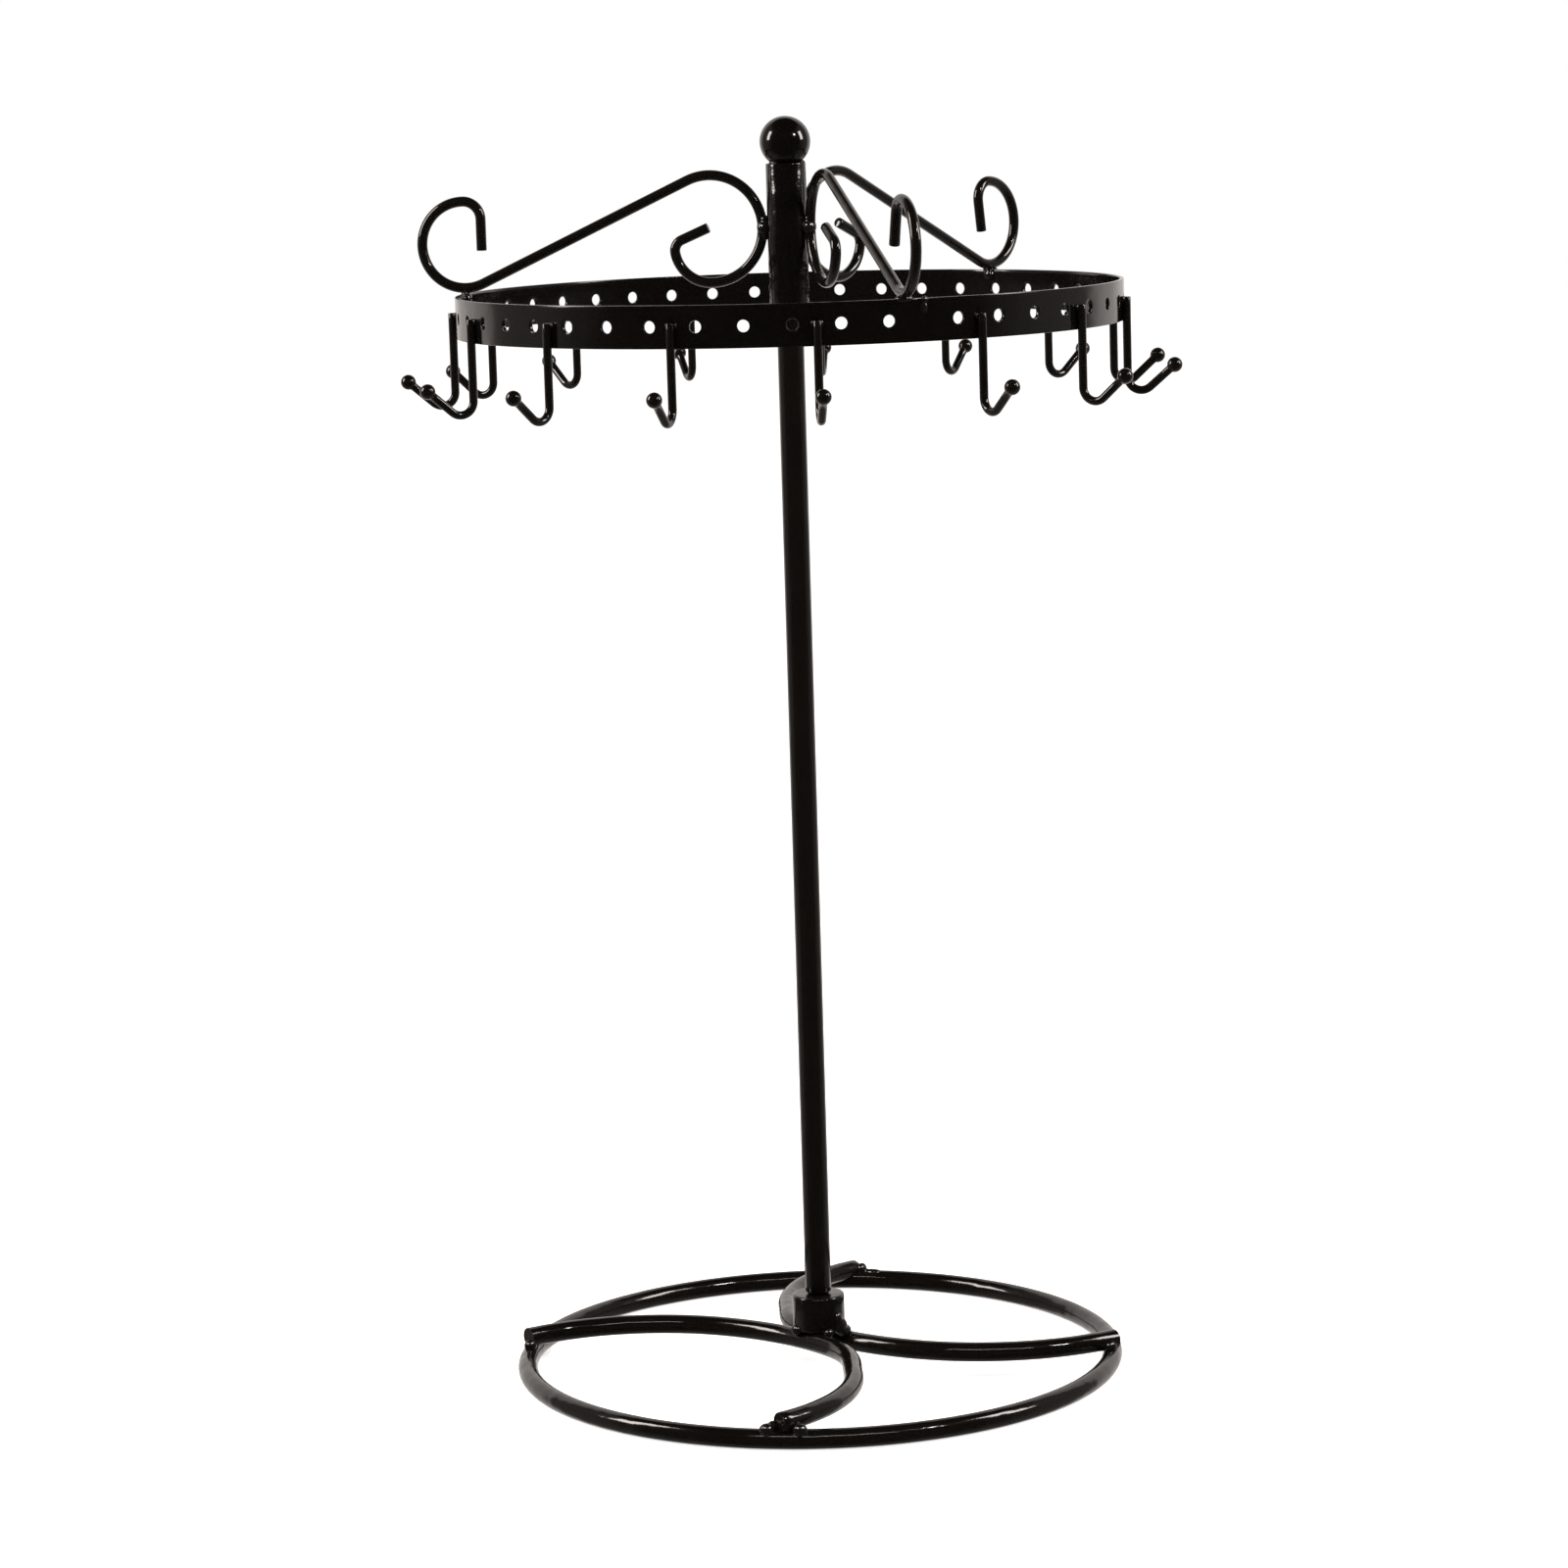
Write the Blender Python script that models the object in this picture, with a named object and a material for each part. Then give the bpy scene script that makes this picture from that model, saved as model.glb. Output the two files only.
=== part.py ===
"""Rotating jewellery stand: a wire foot, a screwed-in post, and a lift-off rotor with hooks.

The foot is a wire ring with two curved wires welded across it and a threaded socket on top of them.
The rotor is a sleeve under a ball finial, three S-shaped scrolls, a punched band and its hooks.
Metres, +Z up. The origin is on the post's axis, in the plane that the foot stands on.
"""

import math

import bmesh
import bpy
from mathutils import Vector

# Clearance kept wherever two pieces are welded, pressed, screwed or seated together
FIT_GAP = 0.0003

# Foot
RING_DIAMETER = 0.181  # to the wire's centreline
FOOT_WIRE = 0.006
ARC_OFFSET = 0.0052  # from the post's axis to the centreline of each arc
ARC_OVERHANG = 0.0015  # of an arc's cut end past the ring's centreline
SOCKET_DIAMETER = 0.016
SOCKET_HEIGHT = 0.010
SOCKET_ROUNDING = 0.0008

# Post and what it holds
POST_LENGTH = 0.339
POST_DIAMETER = 0.008
POST_CHAMFER = 0.0009
STUD_DIAMETER = 0.005
STUD_IN_POST = 0.012
STUD_SHORT_OF_SOCKET = 0.001  # left free below the stud's end
PIVOT_BALL_DIAMETER = 0.007

# Hub
FINIAL_DIAMETER = 0.0152
SLEEVE_PLAY = 0.0014  # of the sleeve's bore over the post's diameter
SLEEVE_WALL = 0.0013
SLEEVE_LENGTH = 0.045
SLEEVE_CHAMFER = 0.0003

# Band: a punched strip rolled into a ring
BAND_DIAMETER = 0.200
BAND_WIDTH = 0.0122
BAND_THICKNESS = 0.0012
BAND_TOP_BELOW_RIM = 0.0367  # from the sleeve's rim down to the band's top edge
BAND_SEAM = math.radians(22.0)  # where the strip's two ends meet
SEAM_GAP = 0.0003
HOLE_COUNT = 45
SEAM_SPAN = math.radians(12.2)  # between the two holes nearest the seam
HOLE_DIAMETER = 0.0035
HOLE_BELOW_TOP = 0.0060
HOLE_SIDES = 10

# Hooks: one wire each, hung between two holes, with a ball melted onto its tip
HOLES_PER_HOOK = 3
HOOK_WIRE = 0.0025
HOOK_HEIGHT = 0.029
HOOK_BELOW_TOP = 0.005
HOOK_BEND_RADIUS = 0.004
HOOK_ARM_RISE = math.radians(41.0)
HOOK_REACH = 0.014  # from the shank to the ball's centre
HOOK_BALL_DIAMETER = 0.0046

# Scrolls: one S-shaped wire each, from the band's top edge to the sleeve's side
SCROLL_PLACES = tuple(math.radians(angle) for angle in (18.5, 140.0, 260.0))  # on the band
SCROLL_CONTACTS = tuple(math.radians(angle) for angle in (50.0, 0.0, 0.0))  # on the sleeve's side
SCROLL_WIRE = 0.0031
OUTER_CURL_RADIUS = 0.013
OUTER_TIP_RADIUS = 0.0054
OUTER_TIP_LENGTH = 0.0095
INNER_CURL_RADIUS = 0.016
INNER_HOOK_RADIUS = 0.011
INNER_HOOK_TURN = math.radians(80.0)
INNER_TIP_RADIUS = 0.0035
INNER_TIP_TURN = math.radians(77.0)
INNER_TIP_LENGTH = 0.009

# Fineness
RING_STEPS = 60
RING_SIDES = 10  # even, with a flat side down for the foot to stand on
ARC_STEPS = 5
TURNED_SIDES = 24
BALL_STEPS = 10
BALL_RINGS = (-0.55, 0.0, 0.55, 1.05, 1.40)  # angles from a hook ball's middle to its tip
WIRE_RESOLUTION = 2  # eight sides
BEND_STEP = math.radians(18.0)
CURL_STEP = math.radians(14.0)

# Heights and radii that follow
ring_radius = RING_DIAMETER / 2
arc_height = FOOT_WIRE + FIT_GAP + FOOT_WIRE / 2
socket_bottom = 2 * (FOOT_WIRE + FIT_GAP)
socket_top = socket_bottom + SOCKET_HEIGHT
post_bottom = socket_top + FIT_GAP
post_top = post_bottom + POST_LENGTH
post_bore_radius = STUD_DIAMETER / 2 + FIT_GAP
sleeve_bore_radius = (POST_DIAMETER + SLEEVE_PLAY) / 2
sleeve_radius = sleeve_bore_radius + SLEEVE_WALL


def seat_height(ball_radius, bore_radius):
    """Height of a ball's centre over the rim that it sits on, a fit gap clear of the rim's edge."""
    return math.sqrt((ball_radius + FIT_GAP) ** 2 - bore_radius**2)


pivot_radius = PIVOT_BALL_DIAMETER / 2
pivot_height = post_top + seat_height(pivot_radius, post_bore_radius)
finial_radius = FINIAL_DIAMETER / 2
finial_height = pivot_height + pivot_radius + FIT_GAP + finial_radius
sleeve_top = finial_height - seat_height(finial_radius, sleeve_bore_radius)
band_top = sleeve_top - BAND_TOP_BELOW_RIM
band_radius = BAND_DIAMETER / 2
hole_pitch = (math.tau - SEAM_SPAN) / (HOLE_COUNT - 1)
first_hole = BAND_SEAM + SEAM_SPAN / 2
weld_radius = band_radius - BAND_THICKNESS / 2
contact_radius = sleeve_radius + FIT_GAP + SCROLL_WIRE / 2


def clear_scene():
    for obj in list(bpy.data.objects):
        bpy.data.objects.remove(obj, do_unlink=True)


def make_material(name, colour, roughness, metallic):
    material = bpy.data.materials.new(name)
    material.use_nodes = True
    shader = material.node_tree.nodes["Principled BSDF"]
    shader.inputs["Base Color"].default_value = (*colour, 1.0)
    shader.inputs["Roughness"].default_value = roughness
    shader.inputs["Metallic"].default_value = metallic
    return material


def add_object(name, data, parent):
    obj = bpy.data.objects.new(name, data)
    bpy.context.scene.collection.objects.link(obj)
    obj.parent = parent
    return obj


def add_empty(name):
    empty = add_object(name, None, None)
    empty.empty_display_size = 0.05
    return empty


def enamelled(name):
    """Each piece gets its own coat of the same black enamel."""
    return make_material(name + "_enamel", (0.012, 0.011, 0.010), 0.22, 0.0)


def mesh_of(name, form, material):
    """A bmesh turned into a smooth-shaded mesh with its edges kept sharp."""
    bmesh.ops.recalc_face_normals(form, faces=form.faces)
    mesh = bpy.data.meshes.new(name)
    form.to_mesh(mesh)
    form.free()
    mesh.shade_smooth()
    mesh.set_sharp_from_angle(angle=math.radians(40.0))
    mesh.materials.append(material)
    return mesh


def turned(name, profile, material, parent, closed):
    """A profile of (radius, height) points turned about the Z axis.

    A closed profile makes a hollow piece. An open one starts and ends on the axis.
    """
    form = bmesh.new()
    verts = [form.verts.new((radius, 0.0, height)) for radius, height in profile]
    edges = [form.edges.new(pair) for pair in zip(verts, verts[1:])]
    if closed:
        edges.append(form.edges.new((verts[-1], verts[0])))
    bmesh.ops.spin(
        form,
        geom=verts + edges,
        axis=(0.0, 0.0, 1.0),
        cent=(0.0, 0.0, 0.0),
        steps=TURNED_SIDES,
        angle=math.tau,
        use_merge=True,
    )
    bmesh.ops.remove_doubles(form, verts=form.verts, dist=1e-6)
    return add_object(name, mesh_of(name, form, material), parent)


def ball_profile(radius, height):
    """Half a circle from the bottom of a ball to its top."""
    steps = [math.pi * (step / BALL_STEPS - 0.5) for step in range(BALL_STEPS + 1)]
    sides = [(radius * math.cos(a), height + radius * math.sin(a)) for a in steps[1:-1]]
    return [(0.0, height - radius), *sides, (0.0, height + radius)]


def bent_path(start, heading, moves, step):
    """Points along a wire bent in one plane.

    A move is (length,) for a straight run, or (radius, turn) for a bend, left when turn is positive.
    """
    points = [Vector(start)]
    for move in moves:
        along = Vector((math.cos(heading), math.sin(heading)))
        if len(move) == 1:
            points.append(points[-1] + along * move[0])
            continue
        radius, turn = move
        side = math.copysign(1.0, turn)
        centre = points[-1] + side * radius * Vector((-along.y, along.x))
        count = max(2, round(abs(turn) / step))
        for index in range(1, count + 1):
            angle = heading + turn * index / count
            points.append(centre + side * radius * Vector((math.sin(angle), -math.cos(angle))))
        heading += turn
    return points, heading


def wire_curve(name, points, wire, material, swells=None):
    """A round wire along points in the XZ plane. swells scales it at each point."""
    curve = bpy.data.curves.new(name, "CURVE")
    curve.dimensions = "3D"
    curve.bevel_depth = wire / 2
    curve.bevel_resolution = WIRE_RESOLUTION
    curve.use_fill_caps = True
    spline = curve.splines.new("POLY")
    spline.points.add(len(points) - 1)
    for index, point in enumerate(points):
        spline.points[index].co = (point.x, 0.0, point.y, 1.0)
        spline.points[index].radius = swells[index] if swells else 1.0
    spline.use_smooth = True
    curve.materials.append(material)
    return curve


def on_circle(radius, angle, height):
    """A point at an angle counted from the front, -Y, towards +X."""
    return Vector((radius * math.sin(angle), -radius * math.cos(angle), height))


def facing(angle):
    """The turn about Z that points a piece's +X outwards at this angle from the front."""
    return (0.0, 0.0, angle - math.pi / 2)


def build_base_ring(parent):
    """The ring's wire has a flat side down, which makes the foot's standing face."""
    bpy.ops.mesh.primitive_torus_add(
        major_segments=RING_STEPS,
        minor_segments=RING_SIDES,
        major_radius=ring_radius,
        minor_radius=FOOT_WIRE / 2 / math.cos(math.pi / RING_SIDES),
        location=(0.0, 0.0, FOOT_WIRE / 2),
    )
    ring = bpy.context.object
    ring.name = "base_ring"
    ring.data.name = "base_ring"
    ring.data.materials.append(enamelled("base_ring"))
    ring.data.shade_smooth()
    ring.parent = parent


def build_base_arcs(parent):
    """Two alike wires laid over the ring, each passing one side of the axis under the socket."""
    end_radius = ring_radius + ARC_OVERHANG
    points = (
        on_circle(end_radius, math.radians(263.1), 0.0),
        Vector((-0.62, 0.238, 0.0)) * ring_radius,
        Vector((-0.22, 0.116, 0.0)) * ring_radius,
        on_circle(ARC_OFFSET, math.radians(307.0), 0.0),
        Vector((0.072, -0.20, 0.0)) * ring_radius,
        Vector((0.106, -0.41, 0.0)) * ring_radius,
        Vector((0.063, -0.745, 0.0)) * ring_radius,
        on_circle(end_radius, math.radians(-7.2), 0.0),
    )
    curve = bpy.data.curves.new("base_arc", "CURVE")
    curve.dimensions = "3D"
    curve.bevel_depth = FOOT_WIRE / 2
    curve.bevel_resolution = WIRE_RESOLUTION
    curve.resolution_u = ARC_STEPS
    curve.use_fill_caps = True
    spline = curve.splines.new("BEZIER")
    spline.bezier_points.add(len(points) - 1)
    for bezier, point in zip(spline.bezier_points, points):
        bezier.co = point
        bezier.handle_left_type = "AUTO"
        bezier.handle_right_type = "AUTO"
    curve.materials.append(enamelled("base_arc"))
    for name, turn in (("base_arc_front", 0.0), ("base_arc_rear", math.pi)):
        arc = add_object(name, curve, parent)
        arc.location.z = arc_height
        arc.rotation_euler.z = turn


def build_base_socket(parent):
    """A boss welded on top of the two arcs, threaded right through for the post's stud."""
    inner = STUD_DIAMETER / 2 + FIT_GAP
    outer = SOCKET_DIAMETER / 2
    rounding = SOCKET_ROUNDING
    profile = (
        (inner, socket_bottom),
        (outer, socket_bottom),
        (outer, socket_top - rounding),
        (outer - rounding * 0.3, socket_top - rounding * 0.3),
        (outer - rounding, socket_top),
        (inner, socket_top),
    )
    turned("base_socket", profile, enamelled("base_socket"), parent, closed=True)


def build_post(parent):
    """A tube with a chamfer outside each end."""
    inner, outer = post_bore_radius, POST_DIAMETER / 2
    profile = (
        (inner, post_bottom),
        (outer - POST_CHAMFER, post_bottom),
        (outer, post_bottom + POST_CHAMFER),
        (outer, post_top - POST_CHAMFER / 2),
        (outer - POST_CHAMFER / 2, post_top),
        (inner, post_top),
    )
    turned("post", profile, enamelled("post"), parent, closed=True)


def build_post_stud(parent):
    """The threaded stud, pressed into the post's lower end and screwed into the socket."""
    radius = STUD_DIAMETER / 2
    chamfer = radius / 5
    bottom = socket_bottom + STUD_SHORT_OF_SOCKET
    top = post_bottom + STUD_IN_POST
    profile = (
        (0.0, bottom),
        (radius - chamfer, bottom),
        (radius, bottom + chamfer),
        (radius, top - chamfer),
        (radius - chamfer, top),
        (0.0, top),
    )
    steel = make_material("post_stud_steel", (0.55, 0.55, 0.56), 0.35, 1.0)
    turned("post_stud", profile, steel, parent, closed=False)


def build_pivot_ball(parent):
    """The loose steel ball on the post's rim, which the finial turns on."""
    steel = make_material("pivot_ball_steel", (0.60, 0.60, 0.61), 0.12, 1.0)
    turned("pivot_ball", ball_profile(pivot_radius, pivot_height), steel, parent, closed=False)


def build_finial_ball(parent):
    """The ball that closes the sleeve's mouth."""
    profile = ball_profile(finial_radius, finial_height)
    turned("finial_ball", profile, enamelled("finial_ball"), parent, closed=False)


def build_hub_sleeve(parent):
    inner, outer = sleeve_bore_radius, sleeve_radius
    bottom = sleeve_top - SLEEVE_LENGTH
    profile = (
        (inner, bottom),
        (outer - SLEEVE_CHAMFER, bottom),
        (outer, bottom + SLEEVE_CHAMFER),
        (outer, sleeve_top - SLEEVE_CHAMFER),
        (outer - SLEEVE_CHAMFER, sleeve_top),
        (inner, sleeve_top),
    )
    turned("hub_sleeve", profile, enamelled("hub_sleeve"), parent, closed=True)


def band_angles():
    """Angles of the band's facets: one facet centred on each hole and one between two holes."""
    half = hole_pitch / 4
    seam_half = math.asin(SEAM_GAP / BAND_DIAMETER)
    angles = [BAND_SEAM + seam_half]
    for index in range(HOLE_COUNT):
        centre = first_hole + index * hole_pitch
        angles += [centre - half, centre + half]
    return angles + [BAND_SEAM + math.tau - seam_half]


def build_display_band(parent):
    """The strip as a ring that is open at its seam, punched by one cutter per hole."""
    outer, inner = band_radius, band_radius - BAND_THICKNESS
    bottom = band_top - BAND_WIDTH
    form = bmesh.new()
    sections = []
    for angle in band_angles():
        corners = ((outer, bottom), (outer, band_top), (inner, band_top), (inner, bottom))
        sections.append([form.verts.new(on_circle(radius, angle, z)) for radius, z in corners])
    for here, there in zip(sections, sections[1:]):
        for index in range(4):
            after = (index + 1) % 4
            form.faces.new((here[index], there[index], there[after], here[after]))
    form.faces.new(sections[0])
    form.faces.new(sections[-1])
    band = add_object("display_band", mesh_of("display_band", form, enamelled("display_band")), parent)
    punch = band.modifiers.new("holes", "BOOLEAN")
    punch.operation = "DIFFERENCE"
    punch.solver = "EXACT"
    punch.object = build_hole_punch(parent)


def build_hole_punch(parent):
    """All the holes' cutters in one hidden mesh, each a rod across the band's wall."""
    form = bmesh.new()
    height = band_top - HOLE_BELOW_TOP
    near, far = band_radius - 3 * BAND_THICKNESS, band_radius + 2 * BAND_THICKNESS
    for hole in range(HOLE_COUNT):
        angle = first_hole + hole * hole_pitch
        across = on_circle(1.0, angle + math.pi / 2, 0.0)
        ends = []
        for radius in (near, far):
            centre = on_circle(radius, angle, height)
            rim = []
            for side in range(HOLE_SIDES):
                turn = math.tau * side / HOLE_SIDES
                offset = across * math.cos(turn) + Vector((0.0, 0.0, math.sin(turn)))
                rim.append(form.verts.new(centre + offset * HOLE_DIAMETER / 2))
            ends.append(rim)
        for side in range(HOLE_SIDES):
            after = (side + 1) % HOLE_SIDES
            form.faces.new((ends[0][side], ends[0][after], ends[1][after], ends[1][side]))
        form.faces.new(ends[0])
        form.faces.new(ends[1])
    bmesh.ops.recalc_face_normals(form, faces=form.faces)
    mesh = bpy.data.meshes.new("hole_punch")
    form.to_mesh(mesh)
    form.free()
    punch = add_object("hole_punch", mesh, parent)
    punch.hide_render = True
    punch.display_type = "WIRE"
    return punch


def hook_curve():
    """Down the shank, round the bend and up the arm, then over the ball on the tip."""
    wire_radius = HOOK_WIRE / 2
    ball_radius = HOOK_BALL_DIAMETER / 2
    shank = HOOK_HEIGHT - wire_radius - HOOK_BEND_RADIUS
    turn = math.pi / 2 + HOOK_ARM_RISE
    bend_reach = HOOK_BEND_RADIUS * (1.0 + math.sin(HOOK_ARM_RISE))
    arm = (HOOK_REACH - bend_reach) / math.cos(HOOK_ARM_RISE)
    entry = -math.acos(wire_radius / ball_radius)
    moves = ((shank,), (HOOK_BEND_RADIUS, turn), (arm + ball_radius * math.sin(entry),))
    points, heading = bent_path((0.0, 0.0), -math.pi / 2, moves, BEND_STEP)
    swells = [1.0] * len(points)
    along = Vector((math.cos(heading), math.sin(heading)))
    centre = points[-1] - along * ball_radius * math.sin(entry)
    for angle in BALL_RINGS:
        points.append(centre + along * ball_radius * math.sin(angle))
        swells.append(ball_radius * math.cos(angle) / wire_radius)
    return wire_curve("hook", points, HOOK_WIRE, enamelled("hook"), swells)


def build_hooks(parent):
    curve = hook_curve()
    radius = band_radius + FIT_GAP + HOOK_WIRE / 2
    for index in range(HOLE_COUNT // HOLES_PER_HOOK):
        angle = first_hole + (index * HOLES_PER_HOOK + 0.5) * hole_pitch
        hook = add_object(f"hook_{index + 1:02d}", curve, parent)
        hook.location = on_circle(radius, angle, band_top - HOOK_BELOW_TOP)
        hook.rotation_euler = facing(angle)


def scroll_curve(name, sidestep, material):
    """The S, bent in one go from the outer curl's tip to the inner curl's tip.

    sidestep is how far to one side of the post's axis the S stands. The straight run between the
    curls is the line that touches both of their circles, crossing from above the inner one to
    below the outer one.
    """
    lift = band_top + FIT_GAP + SCROLL_WIRE / 2
    outer = Vector((math.sqrt(weld_radius**2 - sidestep**2), lift + OUTER_CURL_RADIUS))
    reach = math.sqrt(contact_radius**2 - sidestep**2) + INNER_CURL_RADIUS
    inner = Vector((reach, lift + INNER_CURL_RADIUS))
    between = outer - inner
    spread = OUTER_CURL_RADIUS + INNER_CURL_RADIUS
    slope = math.asin(spread / between.length) - math.atan2(between.y, between.x)
    run = math.sqrt(between.length**2 - spread**2)
    top = outer.y + OUTER_CURL_RADIUS
    start = (outer.x - OUTER_TIP_RADIUS, top - OUTER_TIP_RADIUS - OUTER_TIP_LENGTH)
    moves = (
        (OUTER_TIP_LENGTH,),
        (OUTER_TIP_RADIUS, -math.pi / 2),
        (OUTER_CURL_RADIUS, -math.pi - slope),
        (run,),
        (INNER_CURL_RADIUS, math.pi + slope),
        (INNER_HOOK_RADIUS, INNER_HOOK_TURN),
        (INNER_TIP_RADIUS, INNER_TIP_TURN),
        (INNER_TIP_LENGTH,),
    )
    points, _ = bent_path(start, math.pi / 2, moves, CURL_STEP)
    return wire_curve(name, points, SCROLL_WIRE, material)


def build_scrolls(parent):
    """Each scroll leans on the sleeve at its own contact angle, counted from straight outwards."""
    material = enamelled("scroll")
    for index, (place, contact) in enumerate(zip(SCROLL_PLACES, SCROLL_CONTACTS)):
        sidestep = contact_radius * math.sin(contact)
        direction = place - math.asin(sidestep / weld_radius)
        name = f"scroll_{index + 1}"
        scroll = add_object(name, scroll_curve(name, sidestep, material), parent)
        scroll.location = on_circle(sidestep, direction + math.pi / 2, 0.0)
        scroll.rotation_euler = facing(direction)


def main():
    clear_scene()
    stand = add_empty("stand_axis")
    build_base_ring(stand)
    build_base_arcs(stand)
    build_base_socket(stand)
    build_post(stand)
    build_post_stud(stand)
    pivot = add_empty("pivot_axis")
    build_pivot_ball(pivot)
    rotor = add_empty("rotor_axis")
    build_finial_ball(rotor)
    build_hub_sleeve(rotor)
    build_display_band(rotor)
    build_hooks(rotor)
    build_scrolls(rotor)


main()
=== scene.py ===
"""Rotating jewellery stand in black enamel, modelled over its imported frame.

Each operator makes one piece, or one group of like pieces, and ties it to the body it moves with.
Metres, +Z up, the front is -Y. Angles round the post are counted from the front towards +X.
"""

import math

import bmesh
import bpy
from mathutils import Matrix, Vector


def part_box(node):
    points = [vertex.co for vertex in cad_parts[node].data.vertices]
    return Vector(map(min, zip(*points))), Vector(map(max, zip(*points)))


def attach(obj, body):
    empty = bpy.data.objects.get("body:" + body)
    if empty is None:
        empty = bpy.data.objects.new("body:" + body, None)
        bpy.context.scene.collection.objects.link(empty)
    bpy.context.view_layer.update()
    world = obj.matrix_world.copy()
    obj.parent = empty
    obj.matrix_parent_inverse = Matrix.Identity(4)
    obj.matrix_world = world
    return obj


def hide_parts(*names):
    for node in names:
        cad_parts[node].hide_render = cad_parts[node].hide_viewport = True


bl_info = {
    "name": "Rotating jewellery stand",
    "version": (1, 0, 0),
    "blender": (4, 5, 0),
    "location": "View3D > Sidebar > Stand",
    "description": "Models a wire stand with a rotating head for necklaces and earrings",
    "category": "Add Mesh",
}

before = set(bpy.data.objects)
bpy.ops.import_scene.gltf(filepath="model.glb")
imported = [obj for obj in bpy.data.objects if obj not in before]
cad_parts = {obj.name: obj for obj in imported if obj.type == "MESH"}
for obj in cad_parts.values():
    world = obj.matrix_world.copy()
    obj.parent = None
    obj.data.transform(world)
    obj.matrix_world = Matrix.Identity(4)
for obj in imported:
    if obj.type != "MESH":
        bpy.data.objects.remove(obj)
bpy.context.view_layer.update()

X_AXIS = Vector((1.0, 0.0, 0.0))
Y_AXIS = Vector((0.0, 1.0, 0.0))
Z_AXIS = Vector((0.0, 0.0, 1.0))
SHADE_ANGLE = math.radians(38.0)


def length(name, description, default):
    return bpy.props.FloatProperty(
        name=name, description=description, default=default, min=0.0, precision=5, unit="LENGTH"
    )


def angle(name, description, default):
    return bpy.props.FloatProperty(
        name=name, description=description, default=math.radians(default), unit="ROTATION"
    )


def amount(name, description, default, low=0.0, high=1.0):
    return bpy.props.FloatProperty(
        name=name, description=description, default=default, min=low, max=high, subtype="FACTOR"
    )


def colour(name, description, default):
    return bpy.props.FloatVectorProperty(
        name=name, description=description, default=default, min=0.0, max=1.0, size=3, subtype="COLOR"
    )


class FootSizes(bpy.types.PropertyGroup):
    """Ring, arcs and socket."""

    ring_diameter: length("Ring diameter", "Across the ring, to the middle of its wire", 0.181)
    wire: length("Foot wire", "Thickness of the ring's and the arcs' wire", 0.006)
    front_sink: length("Front arc sink", "How far the front arc's welds let it into the ring", 0.0009)
    rear_sink: length("Rear arc sink", "How far the rear arc's welds let it into the ring", 0.0016)
    rear_tilt: angle("Rear arc tilt", "How far the rear arc tips down towards the back", 1.0)
    socket_diameter: length("Socket diameter", "Outside of the threaded boss", 0.016)
    socket_rounding: length("Socket rounding", "Radius of the boss's upper edge", 0.0009)
    socket_sink: length("Socket sink", "How far the boss is let down onto the arcs", 0.0010)


class PostSizes(bpy.types.PropertyGroup):
    """Post, stud and pivot ball."""

    diameter: length("Post diameter", "Outside of the tube", 0.008)
    chamfer: length("Post chamfer", "Size of the chamfer at the tube's lower end", 0.0009)
    stud_diameter: length("Stud diameter", "Outside of the thread", 0.005)
    stud_pitch: length("Stud pitch", "From one thread to the next", 0.0008)


class HubSizes(bpy.types.PropertyGroup):
    """Sleeve and finial."""

    sleeve_wall: length("Sleeve wall", "Thickness of the sleeve's tube", 0.0013)
    sleeve_edge: length("Sleeve edge", "Size of the broken edges at the sleeve's ends", 0.00035)


class BandSizes(bpy.types.PropertyGroup):
    """The punched strip."""

    thickness: length("Band thickness", "Thickness of the strip", 0.0012)
    hole_diameter: length("Hole diameter", "Across each punched hole", 0.0035)
    hole_below_top: length("Hole depth", "From the band's top edge to the middle of the holes", 0.0060)
    hole_count: bpy.props.IntProperty(
        name="Holes", description="Punched holes round the band", default=45, min=3
    )
    seam_at: angle("Seam place", "Where the strip's two ends meet", 22.0)
    seam_span: angle("Seam span", "Between the two holes nearest the seam", 12.2)
    seam_gap: length("Seam gap", "Between the strip's two ends", 0.00006)
    edge: length("Band edge", "Rounding of the strip's edges and hole rims", 0.00022)


class HookSizes(bpy.types.PropertyGroup):
    """Necklace hooks."""

    wire: length("Hook wire", "Thickness of the hooks' wire", 0.0025)
    bend_radius: length("Hook bend", "Radius of the bend, to the middle of the wire", 0.004)
    arm_rise: angle("Arm rise", "Slope of the arm", 41.0)
    reach: length("Hook reach", "From the shank to the middle of the ball", 0.014)
    ball: length("Hook ball", "Diameter of the ball on the tip", 0.0046)
    holes_between: bpy.props.IntProperty(
        name="Holes per hook", description="Punched holes for each hook", default=3, min=1
    )


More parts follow.
